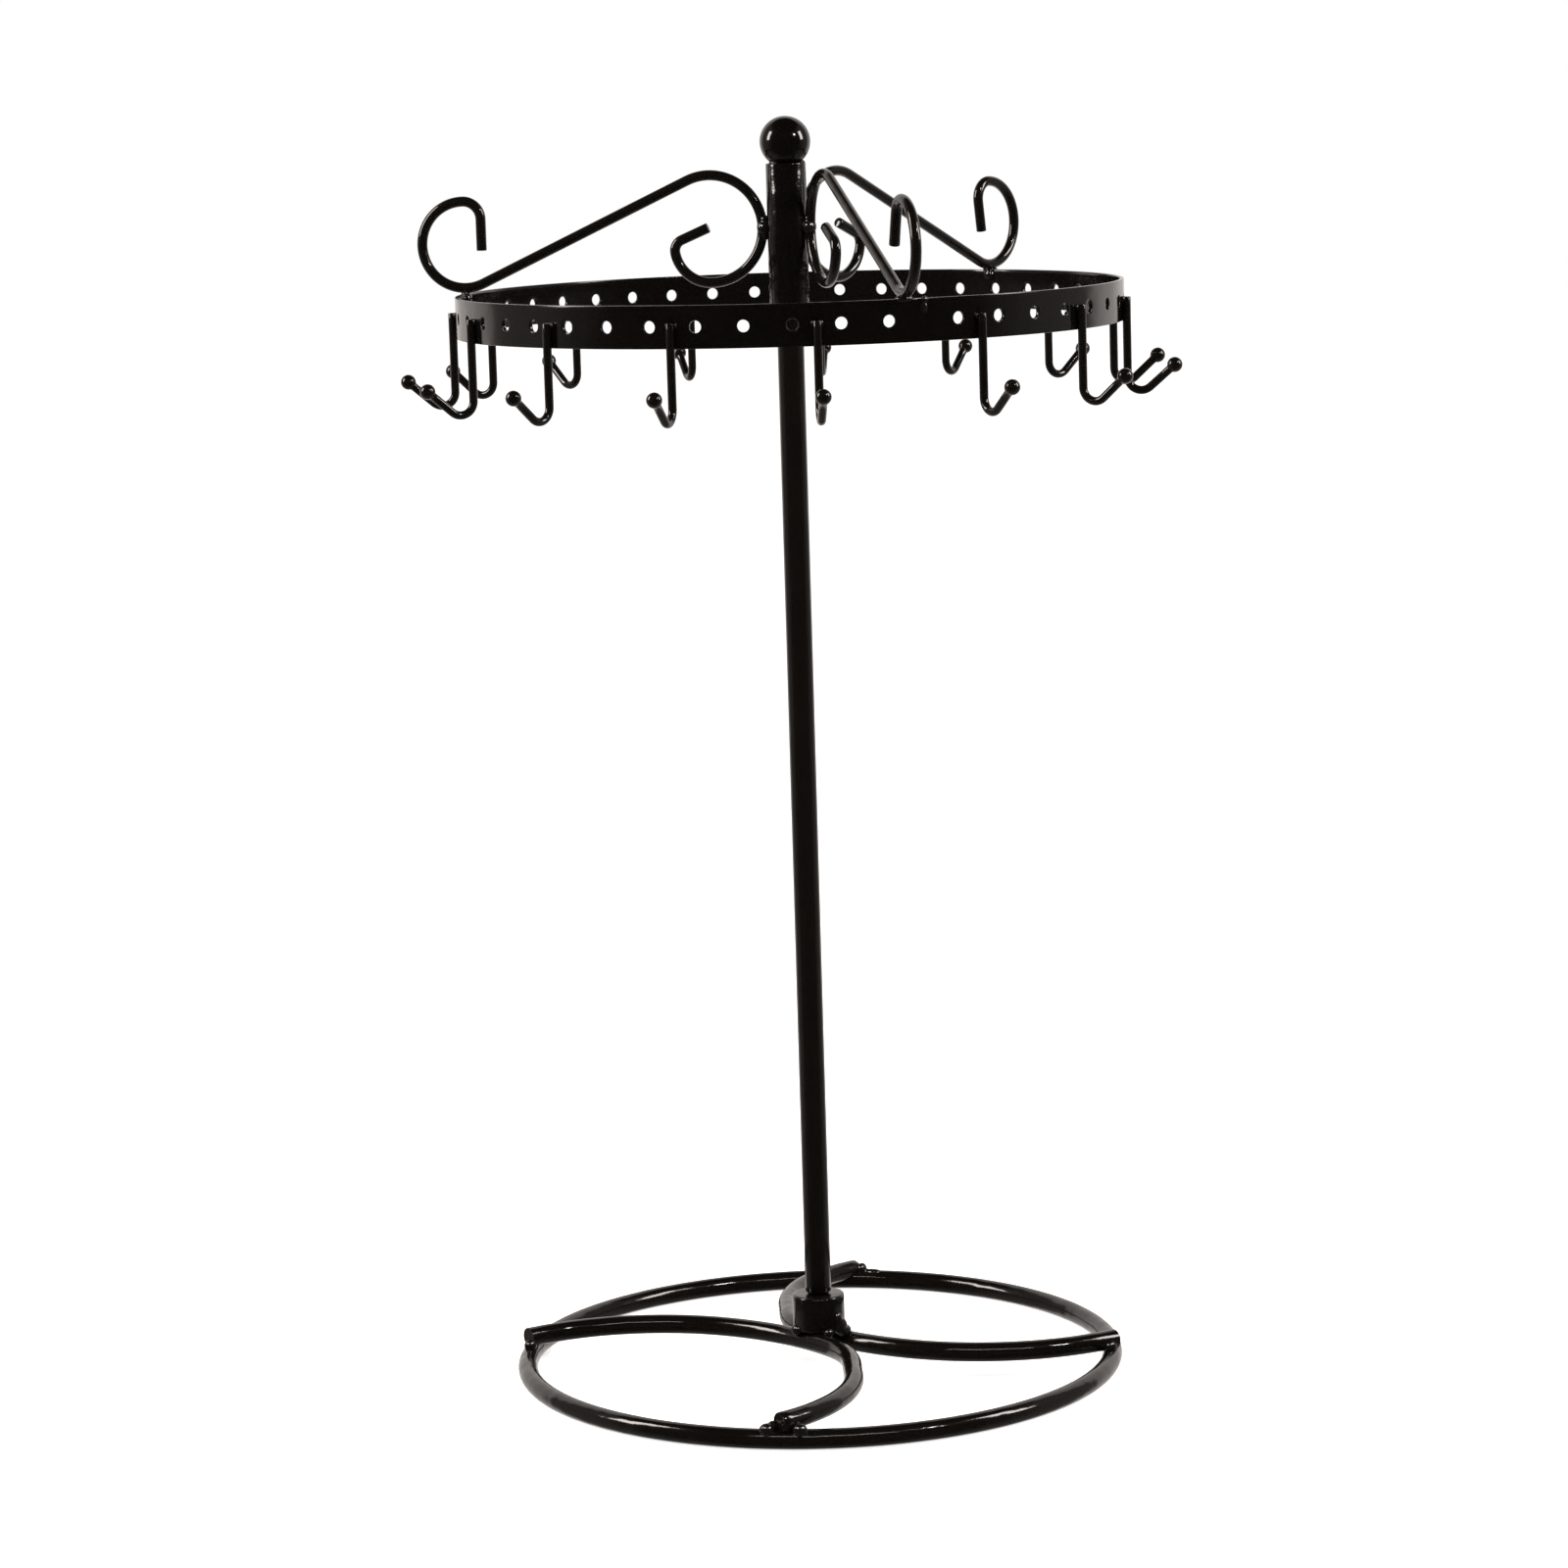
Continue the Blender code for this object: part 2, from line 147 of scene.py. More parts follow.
class ScrollSizes(bpy.types.PropertyGroup):
    """S-shaped scrolls."""

    wire: length("Scroll wire", "Thickness of the scrolls' wire", 0.0031)
    outer_radius: length("Outer curl", "Radius of the curl on the band", 0.013)
    outer_tip_radius: length("Outer tip bend", "Radius of the bend into the outer tip", 0.0054)
    outer_tip: length("Outer tip", "Straight length of the outer tip", 0.0095)
    inner_radius: length("Inner curl", "Radius of the curl on the sleeve", 0.016)
    inner_hook_radius: length("Inner hook", "Radius of the inner curl's second bend", 0.011)
    inner_hook_turn: angle("Inner hook turn", "Turn of the inner curl's second bend", 80.0)
    inner_tip_radius: length("Inner tip bend", "Radius of the bend into the inner tip", 0.0035)
    inner_tip_turn: angle("Inner tip turn", "Turn of the bend into the inner tip", 77.0)
    inner_tip: length("Inner tip", "Straight length of the inner tip", 0.009)
    first_at: angle("First scroll", "Place of the first scroll's weld on the band", 18.5)
    first_lean: angle("First lean", "Round the sleeve, from the first scroll's plane to its weld", 50.0)
    first_tip: angle("First tip", "How far the first scroll's outer tip leans inwards", 16.0)
    second_at: angle("Second scroll", "Place of the second scroll", 140.0)
    second_tip: angle("Second tip", "How far the second scroll's outer tip leans inwards", -8.0)
    third_at: angle("Third scroll", "Place of the third scroll", 260.0)


class Finish(bpy.types.PropertyGroup):
    """Enamel, bare steel and the stage."""

    enamel: colour("Enamel", "Colour of the black enamel", (0.0036, 0.0029, 0.0024))
    enamel_roughness: amount("Enamel roughness", "How soft the enamel's reflections are", 0.11)
    steel: colour("Steel", "Colour of the bare steel", (0.46, 0.45, 0.43))
    floor: colour("Floor", "Colour of the floor", (0.90, 0.90, 0.90))


GROUPS = {
    "stand_foot": FootSizes,
    "stand_post": PostSizes,
    "stand_hub": HubSizes,
    "stand_band": BandSizes,
    "stand_hooks": HookSizes,
    "stand_scrolls": ScrollSizes,
    "stand_finish": Finish,
}


# Places


def around(radius, place, height=0.0):
    """A point at this radius from the post's axis, place counted from the front towards +X."""
    return Vector((radius * math.sin(place), -radius * math.cos(place), height))


def facing(place):
    """The turn about Z that points a piece's +X outwards at this place."""
    return place - math.pi / 2


def top_of(node):
    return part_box(node)[1].z


def bottom_of(node):
    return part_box(node)[0].z


def band_radius():
    """Outside of the rolled band."""
    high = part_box("display_band")[1]
    return max(high.x, high.y)


def hole_pitch(band):
    """The turn from one punched hole to the next."""
    return (math.tau - band.seam_span) / (band.hole_count - 1)


def hook_places(band, hooks):
    """Where the hooks hang: each one midway between two holes."""
    first_hole = band.seam_at + band.seam_span / 2
    count = band.hole_count // hooks.holes_between
    steps = (index * hooks.holes_between + 0.5 for index in range(count))
    return [first_hole + step * hole_pitch(band) for step in steps]


# Selecting and finishing


def start_clean():
    if bpy.context.object and bpy.context.object.mode != "OBJECT":
        bpy.ops.object.mode_set(mode="OBJECT")
    bpy.ops.object.select_all(action="DESELECT")


def edit(obj):
    """Goes into edit mode on one object, with all of it selected."""
    start_clean()
    obj.select_set(True)
    bpy.context.view_layer.objects.active = obj
    bpy.ops.object.transform_apply(location=True, rotation=True, scale=True)
    bpy.ops.object.mode_set(mode="EDIT")
    bpy.ops.mesh.select_all(action="SELECT")


def pick(kind, test):
    """Selects the verts, edges or faces whose middle passes the test, and nothing else."""
    mesh = bpy.context.object.data
    form = bmesh.from_edit_mesh(mesh)
    bpy.ops.mesh.select_all(action="DESELECT")
    bpy.ops.mesh.select_mode(type={"verts": "VERT", "edges": "EDGE", "faces": "FACE"}[kind])
    for item in getattr(form, kind):
        if kind == "verts":
            middle = item.co
        else:
            middle = sum((vert.co for vert in item.verts), Vector()) / len(item.verts)
        item.select_set(bool(test(middle)))
    form.select_flush_mode()
    bmesh.update_edit_mesh(mesh)


def close_up(obj):
    """Merges the doubles, turns every face outwards and goes back to object mode."""
    bpy.ops.mesh.select_mode(type="VERT")
    bpy.ops.mesh.select_all(action="SELECT")
    bpy.ops.mesh.remove_doubles(threshold=1e-6)
    bpy.ops.mesh.normals_make_consistent(inside=False)
    bpy.ops.object.mode_set(mode="OBJECT")
    return obj


def modify(obj, kind, **settings):
    """Adds a modifier, sets it and applies it."""
    start_clean()
    obj.select_set(True)
    bpy.context.view_layer.objects.active = obj
    modifier = obj.modifiers.new(kind.title(), kind)
    for name, value in settings.items():
        setattr(modifier, name, value)
    bpy.ops.object.modifier_apply(modifier=modifier.name)


def ease_ends(wire, width):
    """Breaks the sharp rims of a cut wire's ends."""
    modify(
        wire,
        "BEVEL",
        width=width,
        segments=2,
        limit_method="ANGLE",
        angle_limit=math.radians(70.0),
    )


def place_copy(master, name, turn, shift=(0.0, 0.0, 0.0)):
    """A copy of the master with a mesh of its own, turned about the post's axis and then moved."""
    start_clean()
    master.select_set(True)
    bpy.context.view_layer.objects.active = master
    bpy.ops.object.duplicate(linked=False)
    copy = bpy.context.object
    copy.name = copy.data.name = name
    copy.rotation_euler.z = turn
    copy.location = shift
    return copy


def put_away(master):
    bpy.data.objects.remove(master, do_unlink=True)


def fit(obj, name, material, body, slot, *nodes):
    """Applies the piece's place, shades and paints it, and ties it to the body it moves with."""
    start_clean()
    obj.select_set(True)
    bpy.context.view_layer.objects.active = obj
    bpy.ops.object.transform_apply(location=True, rotation=True, scale=True)
    bpy.ops.object.shade_smooth_by_angle(angle=SHADE_ANGLE)
    obj.name = obj.data.name = name
    obj.data.materials.clear()
    obj.data.materials.append(material)
    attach(obj, body)
    if nodes:
        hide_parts(*nodes)
    obj.select_set(False)
    return obj


# Making forms


class WireBender:
    """Bends one round wire in a plane, the way it is done on a jig.

    The plane is given by the directions that headings are counted from and towards.
    """

    def __init__(self, radius, sides, start, heading, across=X_AXIS, along=Z_AXIS, filled=True):
        self.radius, self.heading = radius, heading
        self.place = Vector(start)
        self.across, self.along = across, along
        self.axis = across.cross(along)
        start_clean()
        bpy.ops.mesh.primitive_circle_add(
            vertices=sides,
            radius=radius,
            fill_type="NGON" if filled else "NOTHING",
            location=self.place,
            rotation=Z_AXIS.rotation_difference(self.ahead()).to_euler(),
        )
        self.wire = bpy.context.object
        edit(self.wire)

    def ahead(self):
        return self.across * math.cos(self.heading) + self.along * math.sin(self.heading)

    def swell(self, scale):
        bpy.ops.transform.resize(value=(scale, scale, scale), center_override=self.place)

    def run(self, distance, pieces=1):
        """Straight on, in a number of equal pieces."""
        for _ in range(pieces):
            step = self.ahead() * distance / pieces
            bpy.ops.mesh.extrude_region_move(TRANSFORM_OT_translate={"value": step})
            self.place += step

    def bend(self, radius, turn, step=math.radians(5.0)):
        """Round a bend, to the left when turn is positive."""
        side = math.copysign(1.0, turn)
        inward = (self.axis.cross(self.ahead())) * side
        centre = self.place + inward * radius
        bpy.ops.mesh.spin(
            steps=max(2, round(abs(turn) / step)), angle=-turn, center=centre, axis=self.axis
        )
        self.place = centre + Matrix.Rotation(turn, 3, self.axis) @ (self.place - centre)
        self.heading += turn

    def cut_end(self, rounding):
        """Leaves the wire's end cut square, with its rim a little rounded."""
        for part in (0.35, 0.65):
            lost = rounding * (1.0 - math.sqrt(max(0.0, 1.0 - part**2)))
            before = self.radius - (0.0 if part < 0.5 else rounding * 0.12)
            self.run(rounding * 0.5)
            self.swell((self.radius - lost - rounding * part * 0.5) / before)

    def done(self):
        """Closes the wire and leaves edit mode."""
        return close_up(self.wire)


def turned(name, profile, sides):
    """A hollow piece turned about the post's axis from a closed profile of (radius, height)."""
    start_clean()
    first_radius, first_height = profile[0]
    bpy.ops.mesh.primitive_circle_add(
        vertices=sides, radius=first_radius, location=(0.0, 0.0, first_height)
    )
    piece = bpy.context.object
    piece.name = name
    edit(piece)
    radius, height = profile[0]
    for next_radius, next_height in [*profile[1:], profile[0]]:
        bpy.ops.mesh.extrude_edges_move(
            TRANSFORM_OT_translate={"value": (0.0, 0.0, next_height - height)}
        )
        scale = next_radius / radius
        bpy.ops.transform.resize(
            value=(scale, scale, 1.0), center_override=(0.0, 0.0, next_height)
        )
        radius, height = next_radius, next_height
    return close_up(piece)


def ball(name, centre, radii, cuts):
    """A ball without poles: a cube, subdivided and pulled round, then squashed to its radii."""
    start_clean()
    bpy.ops.mesh.primitive_cube_add(size=2.0, location=(0.0, 0.0, 0.0))
    piece = bpy.context.object
    piece.name = name
    edit(piece)
    bpy.ops.mesh.subdivide(number_cuts=cuts)
    bpy.ops.transform.tosphere(value=1.0)
    bpy.ops.object.mode_set(mode="OBJECT")
    reach = max(vert.co.length for vert in piece.data.vertices)
    piece.scale = [radius / reach for radius in radii]
    piece.location = centre
    return piece


def rounded(points, radius, steps=3):
    """Profile corners softened: each (radius, height, True) corner becomes a short arc."""
    result = []
    for index, (x, z, soft) in enumerate(points):
        if not soft:
            result.append((x, z))
            continue
        here = Vector((x, z))
        before = (Vector(points[index - 1][:2]) - here).normalized()
        after = (Vector(points[(index + 1) % len(points)][:2]) - here).normalized()
        for step in range(steps + 1):
            part = step / steps
            pull = before * (1 - part) ** 2 + after * part**2
            result.append(tuple(here + pull * radius))
    return result


# Finishes


def new_material(name):
    material = bpy.data.materials.new(name)
    material.use_nodes = True
    nodes, links = material.node_tree.nodes, material.node_tree.links
    return material, nodes, links, nodes["Principled BSDF"]


def noise(nodes, links, where, scale, detail, roughness=0.5):
    texture = nodes.new("ShaderNodeTexNoise")
    texture.inputs["Scale"].default_value = scale
    texture.inputs["Detail"].default_value = detail
    texture.inputs["Roughness"].default_value = roughness
    links.new(where, texture.inputs["Vector"])
    return texture.outputs["Fac"]


def spread(nodes, links, value, low, high, to_low, to_high):
    """Carries a value from one range into another."""
    ramp = nodes.new("ShaderNodeMapRange")
    ramp.interpolation_type = "SMOOTHSTEP"
    limits = {"From Min": low, "From Max": high, "To Min": to_low, "To Max": to_high}
    for socket, number in limits.items():
        ramp.inputs[socket].default_value = number
    links.new(value, ramp.inputs["Value"])
    return ramp.outputs["Result"]


def bump(nodes, links, height, distance, strength=1.0, under=None):
    node = nodes.new("ShaderNodeBump")
    node.inputs["Distance"].default_value = distance
    node.inputs["Strength"].default_value = strength
    links.new(height, node.inputs["Height"])
    if under is not None:
        links.new(under, node.inputs["Normal"])
    return node.outputs["Normal"]


def enamel(name, peel, sag, peel_scale=850.0, sag_scale=120.0, tone=1.0):
    """Black stove enamel: a fine orange peel over a slow sag, with duller and glossier patches.

    peel and sag are the heights of the two, in metres. A tone under 1 is painted shade: it darkens the
    piece's enamel colour.
    """
    finish = bpy.context.scene.stand_finish
    material, nodes, links, shader = new_material(name)
    where = nodes.new("ShaderNodeTexCoord").outputs["Object"]
    shader.inputs["IOR"].default_value = 1.5
    shader.inputs["Metallic"].default_value = 0.0

    tint = nodes.new("ShaderNodeMixRGB")
    links.new(noise(nodes, links, where, 60.0, 3.0), tint.inputs["Fac"])
    # tone scales both colours: below 1 it is painted shade on that piece's enamel, while the noise
    # between them is random tone.
    deep = [part * tone * 0.8 for part in finish.enamel]
    warm = [part * tone * 1.35 for part in finish.enamel]
    tint.inputs["Color1"].default_value = (*deep, 1.0)
    tint.inputs["Color2"].default_value = (*warm, 1.0)
    links.new(tint.outputs["Color"], shader.inputs["Base Color"])

    patches = noise(nodes, links, where, 110.0, 2.0, 0.5)
    base = finish.enamel_roughness
    links.new(
        spread(nodes, links, patches, 0.3, 0.7, base * 0.92, base * 1.12), shader.inputs["Roughness"]
    )

    slow = bump(nodes, links, noise(nodes, links, where, sag_scale, 1.0), sag)
    fine = bump(nodes, links, noise(nodes, links, where, peel_scale, 2.0), peel, under=slow)
    links.new(fine, shader.inputs["Normal"])
    return material


def bare_steel(name, scratch_scale):
    """Turned or rolled steel with fine scratches and a few duller patches."""
    finish = bpy.context.scene.stand_finish
    material, nodes, links, shader = new_material(name)
    where = nodes.new("ShaderNodeTexCoord").outputs["Object"]
    shader.inputs["Metallic"].default_value = 1.0
    stretch = nodes.new("ShaderNodeMapping")
    stretch.inputs["Scale"].default_value = (1.0, 1.0, 14.0)
    links.new(where, stretch.inputs["Vector"])
    lines = noise(nodes, links, stretch.outputs["Vector"], scratch_scale, 3.0)
    tint = nodes.new("ShaderNodeMixRGB")
    links.new(noise(nodes, links, where, 400.0, 3.0), tint.inputs["Fac"])
    tint.inputs["Color1"].default_value = (*[part * 0.75 for part in finish.steel], 1.0)
    tint.inputs["Color2"].default_value = (*finish.steel, 1.0)
    links.new(tint.outputs["Color"], shader.inputs["Base Color"])
    links.new(spread(nodes, links, lines, 0.3, 0.7, 0.18, 0.38), shader.inputs["Roughness"])
    links.new(bump(nodes, links, lines, 0.00001), shader.inputs["Normal"])
    return material


# Foot


class STAND_OT_foot_ring(bpy.types.Operator):
    """Spin the wire's section into the ring that the stand rests on"""

    bl_idname = "stand.foot_ring"
    bl_label = "Foot ring"

    def execute(self, context):
        sizes = context.scene.stand_foot
        radius = sizes.ring_diameter / 2
        start = (radius, 0.0, sizes.wire / 2)
        wire = WireBender(sizes.wire / 2, 28, start, math.pi / 2, X_AXIS, Y_AXIS, filled=False)
        wire.bend(radius, math.tau, math.radians(1.8))
        material = enamel("ring_enamel", peel=0.000014, sag=0.0003)
        fit(wire.done(), "foot_ring", material, "stand", "foot_enamel", "base_ring")
        return {"FINISHED"}


class STAND_OT_foot_arcs(bpy.types.Operator):
    """Bend the wire that crosses the ring, and its twin turned half round"""

    bl_idname = "stand.foot_arcs"
    bl_label = "Foot arcs"

    bends = ((0.0647, -60.5), (0.0434, -31.3), (0.0204, -32.4), (0.0126, 0.0), (0.0534, -53.9))

    def execute(self, context):
        sizes = context.scene.stand_foot
        start = (-0.0907, 0.0098, 0.0)
        wire = WireBender(sizes.wire / 2, 28, start, math.radians(35.6), X_AXIS, Y_AXIS)
        for distance, degrees in self.bends:
            turn = math.radians(degrees)
            if turn:
                wire.bend(distance / abs(turn), turn, math.radians(2.2))
            else:
                wire.run(distance, 5)
        wire.cut_end(0.0005)
        master = wire.done()
        material = enamel("arc_enamel", peel=0.000014, sag=0.0003)
        height = (bottom_of("base_arc_front") + top_of("base_arc_front")) / 2
        for name, node, turn, sink, tilt in (
            ("foot_arc_front", "base_arc_front", 0.0, sizes.front_sink, 0.0),
            ("foot_arc_rear", "base_arc_rear", math.pi, sizes.rear_sink, sizes.rear_tilt),
        ):
            arc = place_copy(master, name, turn, (0.0, 0.0, height - sink))
            arc.rotation_euler.x = tilt
            fit(arc, name, material, "stand", "foot_enamel", node)
        put_away(master)
        return {"FINISHED"}


class STAND_OT_socket(bpy.types.Operator):
    """Turn the threaded boss that the post screws into"""

    bl_idname = "stand.socket"
    bl_label = "Socket"

    def execute(self, context):
        sizes, post = context.scene.stand_foot, context.scene.stand_post
        bore, outer = post.stud_diameter / 2 + 0.0002, sizes.socket_diameter / 2
        low, high = bottom_of("base_socket") - sizes.socket_sink, top_of("base_socket")
        corners = (
            (bore, low, False),
            (outer, low, True),
            (outer, high, True),
            (bore, high, False),
        )
        boss = turned("socket", rounded(corners, sizes.socket_rounding, 5), 72)
        material = enamel("socket_enamel", peel=0.000018, sag=0.0003)
        fit(boss, "post_socket", material, "stand", "foot_enamel", "base_socket")
        return {"FINISHED"}


# Post


class STAND_OT_post(bpy.types.Operator):
    """Turn the tube and chamfer its ends"""

    bl_idname = "stand.post"
    bl_label = "Post"

    def execute(self, context):
        sizes = context.scene.stand_post
        bore, outer = sizes.stud_diameter / 2 + 0.0003, sizes.diameter / 2
        low, high = bottom_of("post") - 0.0002, top_of("post")
        chamfer = sizes.chamfer
        profile = [
            (bore, low),
            (outer - chamfer, low),
            (outer - chamfer * 0.8, low + chamfer * 0.12),
            (outer - chamfer * 0.12, low + chamfer * 0.8),
            (outer, low + chamfer * 1.1),
        ]
        courses = 12
        profile += [(outer, low + (high - low) * part / courses) for part in range(1, courses)]
        profile += [(outer, high - chamfer / 2), (outer - chamfer / 2, high), (bore, high)]
        tube = turned("post_tube", profile, 64)
        material = enamel("post_enamel", peel=0.000012, sag=0.0002)
        fit(tube, "post_tube", material, "stand", "post_enamel", "post")
        return {"FINISHED"}


class STAND_OT_post_stud(bpy.types.Operator):
    """Turn the stud and cut its thread"""

    bl_idname = "stand.post_stud"
    bl_label = "Post stud"

    def execute(self, context):
        sizes = context.scene.stand_post
        low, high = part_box("post_stud")[0].z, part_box("post_stud")[1].z
        crest, root = sizes.stud_diameter / 2, sizes.stud_diameter / 2 - sizes.stud_pitch * 0.6
        rounds = int((high - low) / sizes.stud_pitch) - 1
        profile = [(root * 0.02, low), (root * 0.85, low), (root, low + sizes.stud_pitch * 0.4)]
        for index in range(rounds):
            base = low + sizes.stud_pitch * (index + 0.6)
            profile += [(crest, base + sizes.stud_pitch * 0.4), (crest, base + sizes.stud_pitch * 0.52)]
            profile += [(root, base + sizes.stud_pitch * 0.92)]
        profile += [(root * 0.85, high), (root * 0.02, high)]
        stud = turned("stud", profile, 40)
        fit(stud, "threaded_stud", bare_steel("stud_steel", 900.0), "stand", "steel", "post_stud")
        return {"FINISHED"}


class STAND_OT_pivot_ball(bpy.types.Operator):
    """Make the loose ball that the head turns on"""

    bl_idname = "stand.pivot_ball"
    bl_label = "Pivot ball"

    def execute(self, context):
        low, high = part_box("pivot_ball")
        radius = (high.z - low.z) / 2
        piece = ball("bearing", (low + high) / 2, (radius,) * 3, 15)
        fit(piece, "bearing_ball", bare_steel("ball_steel", 500.0), "pivot", "steel", "pivot_ball")
        return {"FINISHED"}


# Hub


class STAND_OT_finial(bpy.types.Operator):
    """Make the ball that closes the sleeve"""

    bl_idname = "stand.finial"
    bl_label = "Finial"

    def execute(self, context):
        low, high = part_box("finial_ball")
        radius = (high.z - low.z) / 2
        piece = ball("finial", (low + high) / 2, (radius,) * 3, 31)
        # tone 0.7 is painted shade: a darker enamel colour on the finial.
        material = enamel("finial_enamel", peel=0.000008, sag=0.0002, tone=0.7)
        fit(piece, "finial", material, "rotor", "hub_enamel", "finial_ball")
        return {"FINISHED"}


class STAND_OT_sleeve(bpy.types.Operator):
    """Turn the tube that drops over the post"""

    bl_idname = "stand.sleeve"
    bl_label = "Sleeve"

    def execute(self, context):
        sizes = context.scene.stand_hub
        low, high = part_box("hub_sleeve")
        outer = high.x
        bore = outer - sizes.sleeve_wall
        corners = (
            (bore, low.z, True),
            (outer, low.z, True),
            (outer, high.z, True),
            (bore, high.z, True),
        )
        tube = turned("sleeve", rounded(corners, sizes.sleeve_edge), 72)
        # tone 0.7 is painted shade: a darker enamel colour on the sleeve.
        material = enamel("sleeve_enamel", peel=0.00005, sag=0.0006, tone=0.7)
        fit(tube, "sleeve", material, "rotor", "hub_enamel", "hub_sleeve")
        return {"FINISHED"}


# Band


class STAND_OT_band(bpy.types.Operator):
    """Punch the strip, give it its thickness and roll it into the band"""

    bl_idname = "stand.band"
    bl_label = "Band"

    def execute(self, context):
        sizes = context.scene.stand_band
        low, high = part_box("display_band")
        radius = band_radius()
        height = high.z - low.z
        pitch = hole_pitch(sizes) * radius
        columns = 10
        start_clean()
        bpy.ops.mesh.primitive_grid_add(x_subdivisions=columns, y_subdivisions=columns, size=1.0)
        strip = bpy.context.object
        strip.name = "strip"
        strip.rotation_euler.x = math.pi / 2
        strip.scale = (pitch, height, 1.0)
        edit(strip)

        border = 0.5 - 1.5 / columns
        wide, tall = pitch * (border + 0.01), height * (border + 0.01)
        pick("faces", lambda at: abs(at.x) < wide and abs(at.z) < tall)
        bpy.ops.mesh.delete(type="FACE")
        inner = 0.5 - 0.5 / columns
        pick("verts", lambda at: abs(at.x) < pitch * inner and abs(at.z) < height * inner)
        bpy.ops.mesh.extrude_edges_move(TRANSFORM_OT_translate={"value": (0.0, 0.0, 0.0)})
        bpy.ops.transform.tosphere(value=1.0, center_override=(0.0, 0.0, 0.0))
        form = bmesh.from_edit_mesh(strip.data)
        rim = [vert for vert in form.verts if vert.select]
        centre = sum((vert.co for vert in rim), Vector()) / len(rim)
        average = sum((vert.co - centre).length for vert in rim) / len(rim)
        scale = sizes.hole_diameter * 0.75 / average
        bpy.ops.transform.resize(value=(scale, 1.0, scale), center_override=centre)
        drop = height / 2 - sizes.hole_below_top
        bpy.ops.transform.translate(value=(0.0, 0.0, drop))
        bpy.ops.mesh.extrude_edges_move(TRANSFORM_OT_translate={"value": (0.0, 0.0, 0.0)})
        bpy.ops.transform.resize(
            value=(2 / 3, 1.0, 2 / 3), center_override=centre + Vector((0.0, 0.0, drop))
        )
        bpy.ops.object.mode_set(mode="OBJECT")
        modify(
            strip,
            "ARRAY",
            count=sizes.hole_count,
            use_relative_offset=False,
            use_constant_offset=True,
            constant_offset_displace=(pitch, 0.0, 0.0),
            use_merge_vertices=True,
            merge_threshold=0.00002,
        )

        run = (math.tau * radius - sizes.seam_gap - pitch * sizes.hole_count) / 2
        edit(strip)
        bpy.ops.transform.translate(value=(-pitch * (sizes.hole_count - 1) / 2, 0.0, 0.0))
        end = pitch * sizes.hole_count / 2
        for side in (-1.0, 1.0):
            pick("verts", lambda at: side * at.x > end - 0.0001)
            for _ in range(3):
                bpy.ops.mesh.extrude_edges_move(
                    TRANSFORM_OT_translate={"value": (side * run / 3, 0.0, 0.0)}
                )
        close_up(strip)
        edit(strip)
        form = bmesh.from_edit_mesh(strip.data)
        if sum(face.normal.y for face in form.faces) > 0.0:
            bpy.ops.mesh.flip_normals()
        bpy.ops.object.mode_set(mode="OBJECT")
        modify(strip, "SOLIDIFY", thickness=sizes.thickness, offset=-1.0, use_even_offset=True)
        modify(
            strip,
            "BEVEL",
            width=sizes.edge,
            segments=3,
            limit_method="ANGLE",
            angle_limit=math.radians(60.0),
            harden_normals=False,
        )
        turn = (math.tau * radius - sizes.seam_gap) / radius
        modify(strip, "SIMPLE_DEFORM", deform_method="BEND", deform_axis="Z", angle=turn)
        reach = max(vert.co.y for vert in strip.data.vertices) / 2
        strip.location = (0.0, -reach, (low.z + high.z) / 2)
        edit(strip)
        bpy.ops.object.mode_set(mode="OBJECT")
        strip.rotation_euler.z = sizes.seam_at - math.pi
        # tone 0.7 is painted shade: a darker enamel colour on the band.
        material = enamel(
            "band_enamel", peel=0.000004, sag=0.0003, peel_scale=700.0, sag_scale=70.0, tone=0.7
        )
        fit(strip, "punched_band", material, "rotor", "band_enamel", "display_band")
        return {"FINISHED"}


# Hooks


class STAND_OT_hooks(bpy.types.Operator):
    """Bend one hook, swell the ball on its tip, and hang copies round the band"""

    bl_idname = "stand.hooks"
    bl_label = "Hooks"

    def execute(self, context):
        sizes, band = context.scene.stand_hooks, context.scene.stand_band
        radius, ball_radius = sizes.wire / 2, sizes.ball / 2
        low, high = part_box("hook_01")
        height = high.z - low.z
        wire = WireBender(radius, 20, (0.0, 0.0, height), -math.pi / 2)
        wire.run(height - radius - sizes.bend_radius, 6)
        wire.bend(sizes.bend_radius, math.pi / 2 + sizes.arm_rise, math.radians(8.0))
        bend_reach = sizes.bend_radius * (1.0 + math.sin(sizes.arm_rise))
        arm = (sizes.reach - bend_reach) / math.cos(sizes.arm_rise)
        entry = math.acos(radius / ball_radius) * 1.15
        neck = ball_radius * math.sin(entry)
        wire.run(arm - neck, 3)
        width, travelled = radius, -neck
        rings = 12
        for ring in range(1, rings + 1):
            lean = -entry + (math.radians(86.0) + entry) * ring / rings
            wire.run(ball_radius * math.sin(lean) - travelled)
            travelled = ball_radius * math.sin(lean)
            wire.swell(ball_radius * math.cos(lean) / width)
            width = ball_radius * math.cos(lean)
        master = wire.done()
        ease_ends(master, 0.00022)
        material = enamel("hook_enamel", peel=0.000005, sag=0.0001)
        for index, place in enumerate(hook_places(band, sizes)):
            at = around(band_radius() + radius, place, low.z)
            name = f"hook_{index + 1:02d}"
            hook = place_copy(master, "necklace_" + name, facing(place), at)
            fit(hook, "necklace_" + name, material, "rotor", "hook_enamel", name)
        put_away(master)
        return {"FINISHED"}


# Scrolls


def scroll_stances(scene):
    """Each scroll's name, place on the band, lean, step aside from the axis, and tip's lean."""
    sizes = scene.stand_scrolls
    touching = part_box("hub_sleeve")[1].x + sizes.wire / 2
    return [
        (name, place, lean, touching * math.sin(lean), tip)
        for name, place, lean, tip in (
            ("scroll_1", sizes.first_at, sizes.first_lean, sizes.first_tip),
            ("scroll_2", sizes.second_at, 0.0, sizes.second_tip),
            ("scroll_3", sizes.third_at, 0.0, 0.0),
        )
    ]


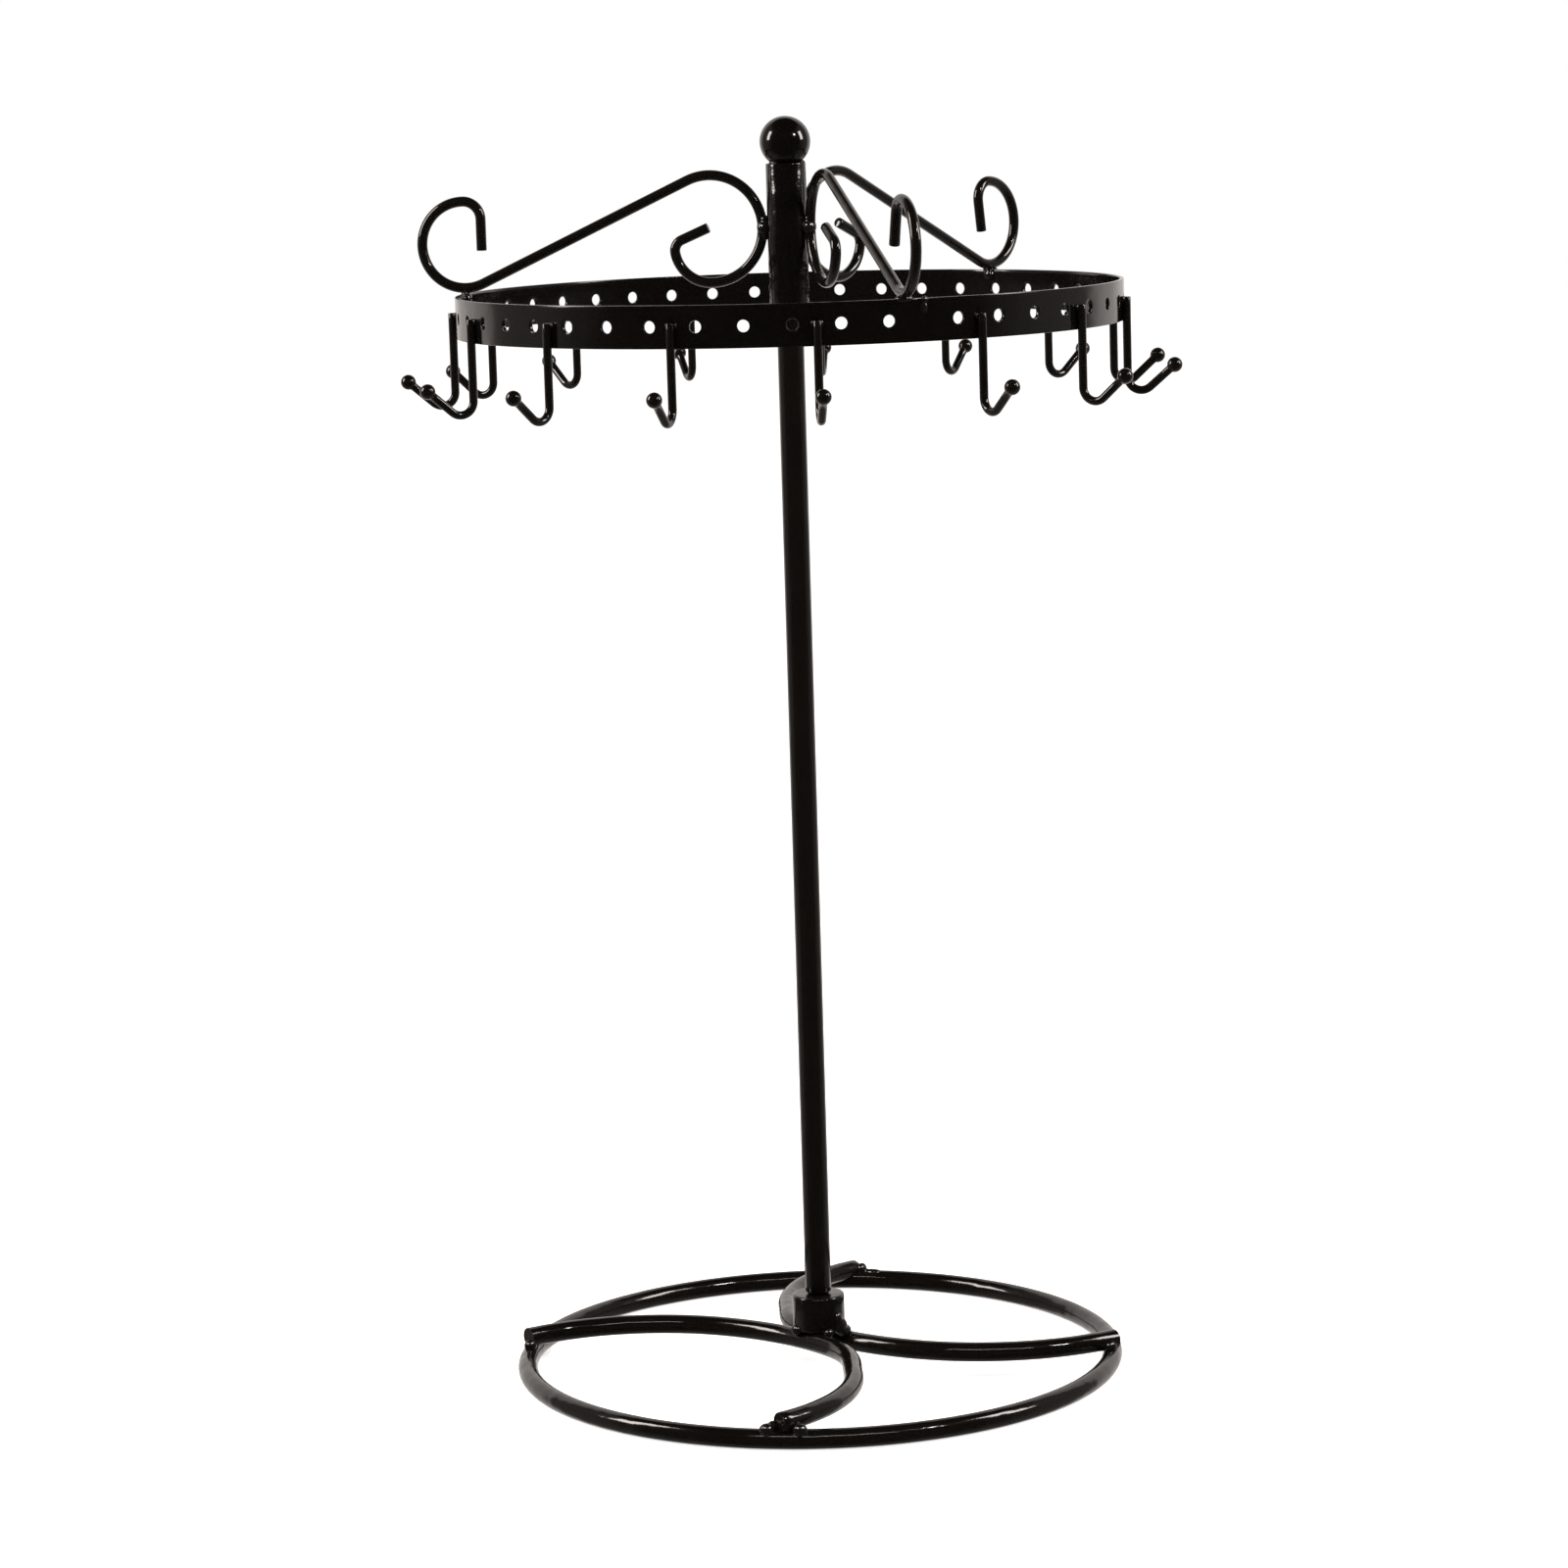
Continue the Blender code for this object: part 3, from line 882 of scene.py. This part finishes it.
def scroll_direction(scene, place, aside):
    """Where a scroll's plane points, when it steps aside from the axis and still meets its weld."""
    return place - math.asin(aside / (band_radius() - scene.stand_band.thickness / 2))


class STAND_OT_scrolls(bpy.types.Operator):
    """Bend each scroll from its outer tip to its inner tip, and set it beside the sleeve"""

    bl_idname = "stand.scrolls"
    bl_label = "Scrolls"

    def execute(self, context):
        material = enamel("scroll_enamel", peel=0.000005, sag=0.00012)
        for name, place, _, aside, tip in scroll_stances(context.scene):
            direction = scroll_direction(context.scene, place, aside)
            scroll = self.bent(context.scene, aside, tip)
            scroll.rotation_euler.z = facing(direction)
            scroll.location = around(aside, direction + math.pi / 2)
            fit(scroll, "wire_" + name, material, "rotor", "scroll_enamel", name)
        return {"FINISHED"}

    def bent(self, scene, aside, tip):
        """One S, which stands this far to one side of the post's axis."""
        sizes, band = scene.stand_scrolls, scene.stand_band
        radius = sizes.wire / 2
        lift = top_of("display_band") + radius + 0.0001
        weld = band_radius() - band.thickness / 2
        outer = Vector((math.sqrt(weld**2 - aside**2), lift + sizes.outer_radius))
        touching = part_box("hub_sleeve")[1].x + radius
        reach = math.sqrt(touching**2 - aside**2) + sizes.inner_radius
        inner = Vector((reach, lift + sizes.inner_radius))
        between = outer - inner
        spreading = sizes.outer_radius + sizes.inner_radius
        slope = math.asin(spreading / between.length) - math.atan2(between.y, between.x)
        run = math.sqrt(between.length**2 - spreading**2)
        heading = math.pi / 2 - tip
        ahead = Vector((math.cos(heading), math.sin(heading)))
        bend_middle = outer + Vector((0.0, sizes.outer_radius - sizes.outer_tip_radius))
        start = bend_middle + Vector((-ahead.y, ahead.x)) * sizes.outer_tip_radius
        start -= ahead * sizes.outer_tip
        wire = WireBender(radius, 24, (start.x, 0.0, start.y), heading)
        wire.run(sizes.outer_tip, 4)
        wire.bend(sizes.outer_tip_radius, -heading, math.radians(6.0))
        wire.bend(sizes.outer_radius, -math.pi - slope, math.radians(4.0))
        wire.run(run, 12)
        wire.bend(sizes.inner_radius, math.pi + slope, math.radians(4.0))
        wire.bend(sizes.inner_hook_radius, sizes.inner_hook_turn, math.radians(5.0))
        wire.bend(sizes.inner_tip_radius, sizes.inner_tip_turn, math.radians(8.0))
        wire.run(sizes.inner_tip, 4)
        scroll = wire.done()
        ease_ends(scroll, 0.00025)
        return scroll


# Welds


def fuse_beads(name, lumps, grain):
    """Lumps of weld run together: (centre, turn about Z, radii) each, fused and smoothed."""
    pieces = []
    for centre, turn, radii in lumps:
        piece = ball("lump", centre, radii, 5)
        piece.rotation_euler.z = turn
        pieces.append(piece)
    start_clean()
    for piece in pieces:
        piece.select_set(True)
    bpy.context.view_layer.objects.active = pieces[0]
    bpy.ops.object.transform_apply(location=True, rotation=True, scale=True)
    bpy.ops.object.join()
    beads = bpy.context.object
    beads.name = name
    modify(beads, "REMESH", mode="VOXEL", voxel_size=grain, use_smooth_shade=True)
    modify(beads, "SMOOTH", factor=0.5, iterations=5)
    return beads


class STAND_OT_foot_welds(bpy.types.Operator):
    """Run the weld beads between the ring, the arcs and the socket"""

    bl_idname = "stand.foot_welds"
    bl_label = "Foot welds"

    # Where the front arc's two ends cross the ring, and the skew of the beads there. The rear
    # arc's are half a turn on.
    crossings = ((263.4, 0.5), (-7.2, -0.3))
    crossing_bead = (0.0021, 0.0016, 0.0019)

    # Round the foot of the socket: place, height and radii
    socket_beads = (
        (47.0, 0.0152, (0.0013, 0.0015, 0.0026)),
        (56.0, 0.0130, (0.0019, 0.0026, 0.0028)),
        (70.0, 0.0112, (0.0024, 0.0030, 0.0020)),
        (22.0, 0.0116, (0.0013, 0.0016, 0.0015)),
        (-63.0, 0.0120, (0.0017, 0.0020, 0.0019)),
        (-130.0, 0.0112, (0.0014, 0.0030, 0.0020)),
        (165.0, 0.0112, (0.0012, 0.0022, 0.0016)),
    )

    def execute(self, context):
        sizes = context.scene.stand_foot
        ring = sizes.ring_diameter / 2
        seat = sizes.wire + 0.0006
        lumps = []
        for half in (0.0, math.pi):
            for place, skew in self.crossings:
                for side in (-1.0, 1.0):
                    spot = math.radians(place) + half + side * 0.0036 / ring
                    at = around(ring - 0.0002, spot, seat)
                    lumps.append((at, facing(spot) + skew, self.crossing_bead))
        lumps += self.end_beads(ring, seat)
        for place, height, radii in self.socket_beads:
            spot = math.radians(place)
            lumps.append((around(0.0079, spot, height), facing(spot), radii))
        beads = fuse_beads("foot_welds", lumps, 0.00028)
        material = enamel("foot_weld_enamel", peel=0.00002, sag=0.0003, peel_scale=500.0)
        fit(beads, "foot_welds", material, "stand", "foot_enamel")
        return {"FINISHED"}

    def end_beads(self, ring, seat):
        """The lump over the rear arc's cut end, its run-out, and two beside the front arc's end."""
        back, front = math.radians(172.8), math.radians(-7.2)
        return [
            (around(ring + out, place + along / ring, seat - drop), facing(place + along / ring), radii)
            for place, along, out, drop, radii in (
                (back, 0.0, 0.0014, 0.0008, (0.0034, 0.0038, 0.0029)),
                (back, -0.0070, -0.0004, 0.0012, (0.0016, 0.0034, 0.0012)),
                (front, -0.0050, 0.0016, 0.0004, (0.0020, 0.0023, 0.0020)),
                (front, 0.0046, 0.0016, 0.0004, (0.0020, 0.0023, 0.0020)),
            )
        ]


class STAND_OT_head_welds(bpy.types.Operator):
    """Run the weld beads between the sleeve, the scrolls, the band and the hooks"""

    bl_idname = "stand.head_welds"
    bl_label = "Head welds"

    # Where a scroll touches the sleeve: rise, distance out from the sleeve, and radii
    sleeve_beads = (
        (0.0002, 0.0011, (0.0022, 0.0026, 0.0024)),
        (0.0026, 0.0010, (0.0013, 0.0019, 0.0015)),
        (-0.0024, 0.0009, (0.0012, 0.0017, 0.0014)),
    )
    rim_places = (-50.0, 75.0, 190.0)

    def execute(self, context):
        scene = context.scene
        lumps = self.scroll_beads(scene) + self.seam_beads(scene) + self.hook_beads(scene)
        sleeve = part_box("hub_sleeve")[1].x
        rim = top_of("hub_sleeve")
        for place in self.rim_places:
            spot = math.radians(place)
            at = around(sleeve - 0.0012, spot, rim + 0.0002)
            lumps.append((at, facing(spot), (0.0012, 0.0017, 0.0007)))
        beads = fuse_beads("head_welds", lumps, 0.00025)
        material = enamel("head_weld_enamel", peel=0.00002, sag=0.0003, peel_scale=500.0)
        fit(beads, "head_welds", material, "rotor", "hub_enamel")
        return {"FINISHED"}

    def scroll_beads(self, scene):
        """Between each scroll and the sleeve, and under it on the band's top edge."""
        scrolls = scene.stand_scrolls
        sleeve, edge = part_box("hub_sleeve")[1].x, top_of("display_band")
        touch = edge + scrolls.wire / 2 + scrolls.inner_radius
        middle = band_radius() - scene.stand_band.thickness / 2
        lumps = []
        for _, place, lean, aside, _ in scroll_stances(scene):
            side, turn = scroll_direction(scene, place, aside) + lean, facing(place)
            for rise, out, radii in self.sleeve_beads:
                lumps.append((around(sleeve + out, side, touch + rise), facing(side), radii))
            lumps.append((around(middle, place, edge), turn, (0.0014, 0.0028, 0.0011)))
            inside = around(middle - 0.0009, place, edge - 0.0016)
            lumps.append((inside, turn, (0.0010, 0.0020, 0.0016)))
        return lumps

    def seam_beads(self, scene):
        """At the top of the strip's seam."""
        seam, radius, edge = scene.stand_band.seam_at, band_radius(), top_of("display_band")
        turn = facing(seam)
        return [
            (around(radius + 0.0001, seam - 0.004, edge - 0.0026), turn, (0.0007, 0.0012, 0.0018)),
            (around(radius, seam, edge - 0.0004), turn, (0.0008, 0.0011, 0.0010)),
        ]

    def hook_beads(self, scene):
        """On both sides of each hook's upper end."""
        radius, top = band_radius(), top_of("hook_01")
        lumps = []
        for place in hook_places(scene.stand_band, scene.stand_hooks):
            for side in (-1.0, 1.0):
                spot = place + side * 0.0012 / radius
                at = around(radius + 0.0003, spot, top - 0.0007)
                lumps.append((at, facing(spot), (0.0008, 0.0007, 0.0009)))
        return lumps


# Stage


def soft_box(name, place, height, distance, width, tall, power, tint, aim=0.2):
    """An area light standing round the object, aimed at a point on the post's axis."""
    light = bpy.data.lights.new(name, "AREA")
    light.shape = "RECTANGLE"
    light.size, light.size_y = width, tall
    light.energy = power
    light.color = tint
    lamp = bpy.data.objects.new(name, light)
    bpy.context.scene.collection.objects.link(lamp)
    lamp.location = around(distance, math.radians(place), height)
    to_axis = Vector((0.0, 0.0, aim)) - lamp.location
    lamp.rotation_euler = to_axis.to_track_quat("-Z", "Y").to_euler()
    return lamp


class STAND_OT_stage(bpy.types.Operator):
    """Set the floor, the lights and the camera"""

    bl_idname = "stand.stage"
    bl_label = "Stage"

    def execute(self, context):
        self.lay_floor(context)
        self.light_room(context)
        soft_box("left_box", -83.0, 0.73, 0.95, 0.26, 0.58, 7.5, (1.0, 0.92, 0.86))
        soft_box("right_box", 81.0, 0.73, 0.95, 0.24, 0.50, 6.0, (1.0, 0.93, 0.88))
        soft_box("small_box", 47.0, 0.95, 1.0, 0.10, 0.10, 2.5, (1.0, 0.97, 0.95))
        top_box = soft_box("top_box", -30.0, 1.5, 0.5, 0.35, 0.35, 14.0, (1.0, 1.0, 1.0), 0.0)
        top_box.visible_glossy = False
        bar = soft_box("front_bar", 0.0, 0.95, 1.0, 1.1, 0.05, 2.4, (1.0, 0.97, 0.94), 0.0)
        foot = ("foot_ring", "foot_arc_front", "foot_arc_rear", "post_socket", "foot_welds")
        self.flag_off(bar, *foot)
        for side in (-38.0, 50.0):
            glint = soft_box("bead_glint", side, 0.9, 1.0, 0.4, 0.4, 11.0, (1.0, 0.97, 0.94), 0.2)
            self.flag_off(glint, "foot_welds", "head_welds")
        for side, power in ((-106.0, 0.16), (104.0, 0.12)):
            tint = (1.0, 0.93, 0.88)
            strip = soft_box("sleeve_strip", side, 0.37, 0.9, 0.07, 0.34, power, tint, 0.36)
            self.flag_off(strip, "sleeve")
        camera = bpy.data.cameras.new("camera")
        camera.lens = 107.2
        camera.sensor_width = 36.0
        camera.clip_start, camera.clip_end = 0.05, 50.0
        viewer = bpy.data.objects.new("camera", camera)
        context.scene.collection.objects.link(viewer)
        viewer.location = (-0.00595, -1.40485, 0.39792)
        down = Matrix.Rotation(math.radians(90.0 - 8.731), 3, "X")
        roll = Matrix.Rotation(math.radians(-1.7), 3, "Z")
        viewer.rotation_euler = (down @ roll).to_euler()
        context.scene.camera = viewer
        context.scene.view_settings.view_transform = "Standard"
        return {"FINISHED"}

    def flag_off(self, light, *names):
        """Keeps a light off everything but the named pieces, as flags round a lamp do."""
        lit = bpy.data.collections.new("lit_by_" + light.name)
        for name in names:
            lit.objects.link(bpy.data.objects[name])
        light.light_linking.receiver_collection = lit

    def lay_floor(self, context):
        start_clean()
        bpy.ops.mesh.primitive_circle_add(vertices=96, radius=6.0, fill_type="NGON")
        floor = context.object
        edit(floor)
        bpy.ops.mesh.inset(thickness=0.02)
        bpy.ops.object.mode_set(mode="OBJECT")
        floor.name = "floor"
        material, nodes, links, shader = new_material("pale_floor")
        tone = context.scene.stand_finish.floor
        shader.inputs["Base Color"].default_value = (*tone, 1.0)
        shader.inputs["Roughness"].default_value = 0.9
        shader.inputs["Specular IOR Level"].default_value = 0.0
        shader.inputs["Emission Strength"].default_value = 1.0
        where = nodes.new("ShaderNodeTexCoord").outputs["Object"]
        reach = nodes.new("ShaderNodeVectorMath")
        reach.operation = "LENGTH"
        links.new(where, reach.inputs[0])
        glow = spread(nodes, links, reach.outputs["Value"], 0.15, 0.9, 0.80, 1.0)
        tone_of_glow = nodes.new("ShaderNodeCombineColor")
        for channel in ("Red", "Green", "Blue"):
            links.new(glow, tone_of_glow.inputs[channel])
        links.new(tone_of_glow.outputs["Color"], shader.inputs["Emission Color"])
        floor.data.materials.append(material)
        floor.visible_glossy = False

    def light_room(self, context):
        """White low behind the object, dark in front and above; the viewer sees plain white."""
        world = bpy.data.worlds.new("room")
        context.scene.world = world
        world.use_nodes = True
        nodes, links = world.node_tree.nodes, world.node_tree.links
        nodes.clear()
        output = nodes.new("ShaderNodeOutputWorld")
        seen = nodes.new("ShaderNodeBackground")
        seen.inputs["Color"].default_value = (1.0, 1.0, 1.0, 1.0)
        room = nodes.new("ShaderNodeBackground")
        path = nodes.new("ShaderNodeLightPath")
        mix = nodes.new("ShaderNodeMixShader")
        where = nodes.new("ShaderNodeTexCoord")
        parts = nodes.new("ShaderNodeSeparateXYZ")
        links.new(where.outputs["Generated"], parts.inputs["Vector"])
        low = spread(nodes, links, parts.outputs["Z"], 0.68, 0.80, 1.0, 0.0)
        sides = spread(nodes, links, parts.outputs["Y"], -0.55, 0.10, 0.012, 0.22)
        behind = spread(nodes, links, parts.outputs["Y"], 0.50, 0.62, 0.0, 0.65)
        total = nodes.new("ShaderNodeMath")
        total.operation = "ADD"
        links.new(sides, total.inputs[0])
        links.new(behind, total.inputs[1])
        tint = nodes.new("ShaderNodeCombineColor")
        for channel, share in (("Red", 1.0), ("Green", 0.93), ("Blue", 0.88)):
            part = nodes.new("ShaderNodeMath")
            part.operation = "MULTIPLY"
            part.inputs[1].default_value = share
            links.new(total.outputs["Value"], part.inputs[0])
            links.new(part.outputs["Value"], tint.inputs[channel])
        links.new(low, room.inputs["Strength"])
        links.new(tint.outputs["Color"], room.inputs["Color"])
        links.new(path.outputs["Is Camera Ray"], mix.inputs["Fac"])
        links.new(room.outputs["Background"], mix.inputs[1])
        links.new(seen.outputs["Background"], mix.inputs[2])
        links.new(mix.outputs["Shader"], output.inputs["Surface"])


# Panel and registration

STEPS = (
    STAND_OT_foot_ring,
    STAND_OT_foot_arcs,
    STAND_OT_socket,
    STAND_OT_post,
    STAND_OT_post_stud,
    STAND_OT_pivot_ball,
    STAND_OT_finial,
    STAND_OT_sleeve,
    STAND_OT_band,
    STAND_OT_hooks,
    STAND_OT_scrolls,
    STAND_OT_foot_welds,
    STAND_OT_head_welds,
    STAND_OT_stage,
)


class STAND_PT_panel(bpy.types.Panel):
    """Lists the stand's pieces in the order they are made"""

    bl_idname = "STAND_PT_panel"
    bl_label = "Rotating jewellery stand"
    bl_space_type = "VIEW_3D"
    bl_region_type = "UI"
    bl_category = "Stand"

    def draw(self, context):
        for name in GROUPS:
            box = self.layout.box()
            group = getattr(context.scene, name)
            for prop in group.bl_rna.properties:
                if prop.identifier not in {"rna_type", "name"}:
                    box.prop(group, prop.identifier)
        for step in STEPS:
            self.layout.operator(step.bl_idname)


CLASSES = (*GROUPS.values(), *STEPS, STAND_PT_panel)


def register():
    for cls in CLASSES:
        bpy.utils.register_class(cls)
    for name, group in GROUPS.items():
        setattr(bpy.types.Scene, name, bpy.props.PointerProperty(type=group))


def unregister():
    for name in GROUPS:
        delattr(bpy.types.Scene, name)
    for cls in reversed(CLASSES):
        bpy.utils.unregister_class(cls)


def main():
    register()
    for step in STEPS:
        group, name = step.bl_idname.split(".")
        result = getattr(getattr(bpy.ops, group), name)()
        if result != {"FINISHED"}:
            raise RuntimeError(f"{step.bl_label} wasn't made")


if __name__ == "__main__":
    main()
